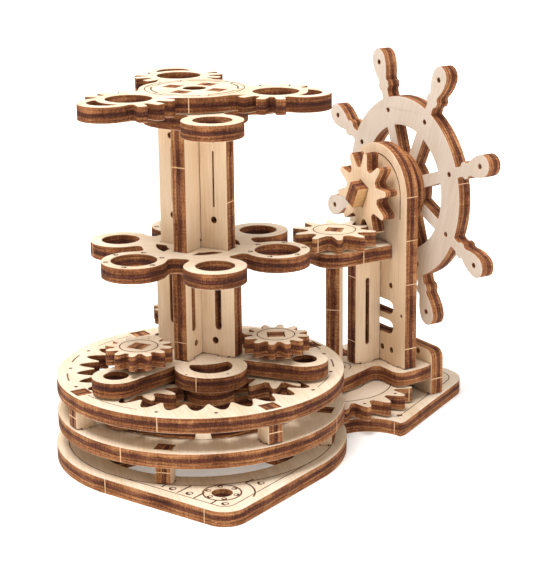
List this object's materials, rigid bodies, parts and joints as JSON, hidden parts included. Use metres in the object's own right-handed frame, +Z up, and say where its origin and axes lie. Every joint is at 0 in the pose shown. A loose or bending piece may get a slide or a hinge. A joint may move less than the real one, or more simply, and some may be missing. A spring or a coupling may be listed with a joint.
{
  "type": "rotating pen organizer",
  "caption": "Laser-cut plywood desk organizer: a carousel of ring-shaped pen holders on a planetary gear base, turned through gears by a ship's wheel on a side tower.",
  "frame": {"origin": "on the carousel's axis, at the underside of the base plate", "axes": "+Z up along the carousel's axis; -Y towards the base plate's pointed corner; the tower stands out at 23 degrees from +X towards +Y"},
  "size_m": [0.1173, 0.1164, 0.0987],
  "materials": {
    "pale_veneer": "matt, laser-cut, edges scorched brown",
    "scorched_edge": "matt, scorched by the laser",
    "shaded_veneer": "matt"
  },
  "bodies": {
    "base": {"base_plate": "pale_veneer", "lower_spacer_1": "scorched_edge", "lower_spacer_2": "scorched_edge", "lower_spacer_3": "scorched_edge", "lower_spacer_4": "scorched_edge", "middle_plate": "pale_veneer", "upper_spacer_1": "pale_veneer", "upper_spacer_2": "pale_veneer", "upper_spacer_3": "pale_veneer", "upper_spacer_4": "pale_veneer", "ring_gear_plate": "pale_veneer", "arch_plate": "pale_veneer", "web_plate": "pale_veneer", "shelf_plate": "pale_veneer", "foot_plate": "pale_veneer"},
    "carousel": {"carousel_axle": "scorched_edge", "hub_gear": "shaded_veneer", "lower_carrier": "pale_veneer", "carrier_spacer": "pale_veneer", "upper_carrier": "pale_veneer", "column_blade_a": "pale_veneer", "column_blade_b": "pale_veneer", "middle_rosette": "pale_veneer", "lower_top_plate": "pale_veneer", "top_plate": "pale_veneer"},
    "planet_1": {"planet_axle_1": "scorched_edge", "planet_gear_1": "pale_veneer", "planet_collar_1": "scorched_edge", "upper_gear_1": "pale_veneer"},
    "planet_2": {"planet_axle_2": "scorched_edge", "planet_gear_2": "pale_veneer", "planet_collar_2": "scorched_edge", "upper_gear_2": "pale_veneer"},
    "planet_3": {"planet_axle_3": "scorched_edge", "planet_gear_3": "pale_veneer", "planet_collar_3": "scorched_edge", "upper_gear_3": "pale_veneer"},
    "drive_shaft_body": {"drive_shaft": "scorched_edge", "drive_gear": "pale_veneer", "crown_gear": "pale_veneer"},
    "wheel_body": {"wheel_axle": "scorched_edge", "wheel_pinion": "pale_veneer", "wheel_hub_disc": "pale_veneer", "steering_wheel": "pale_veneer"}
  },
  "joints": [
    {"name": "carousel_spin", "type": "hinge", "parent": "base", "child": "carousel", "pos_m": [0, 0, 0], "axis": [0, 0, 1], "continuous": true},
    {"name": "planet_1_spin", "type": "hinge", "parent": "carousel", "child": "planet_1", "pos_m": [-0.01694, -0.01173, 0], "axis": [0, 0, 1], "continuous": true},
    {"name": "planet_2_spin", "type": "hinge", "parent": "carousel", "child": "planet_2", "pos_m": [0.01862, -0.0088, 0], "axis": [0, 0, 1], "continuous": true},
    {"name": "planet_3_spin", "type": "hinge", "parent": "carousel", "child": "planet_3", "pos_m": [-0.00169, 0.02053, 0], "axis": [0, 0, 1], "continuous": true},
    {"name": "drive_shaft_spin", "type": "hinge", "parent": "base", "child": "drive_shaft_body", "pos_m": [0.0397, 0.02011, 0], "axis": [0, 0, 1], "continuous": true},
    {"name": "wheel_spin", "type": "hinge", "parent": "base", "child": "wheel_body", "pos_m": [-0.00117, 0.00276, 0.0616], "axis": [0.9205, 0.3907, 0], "continuous": true}
  ],
  "couplings": [
    {"joint": "planet_1_spin", "follows": "carousel_spin", "ratio": -3},
    {"joint": "planet_2_spin", "follows": "carousel_spin", "ratio": -3},
    {"joint": "planet_3_spin", "follows": "carousel_spin", "ratio": -3},
    {"joint": "drive_shaft_spin", "follows": "carousel_spin", "ratio": -1.2},
    {"joint": "wheel_spin", "follows": "carousel_spin", "ratio": -1.2}
  ]
}
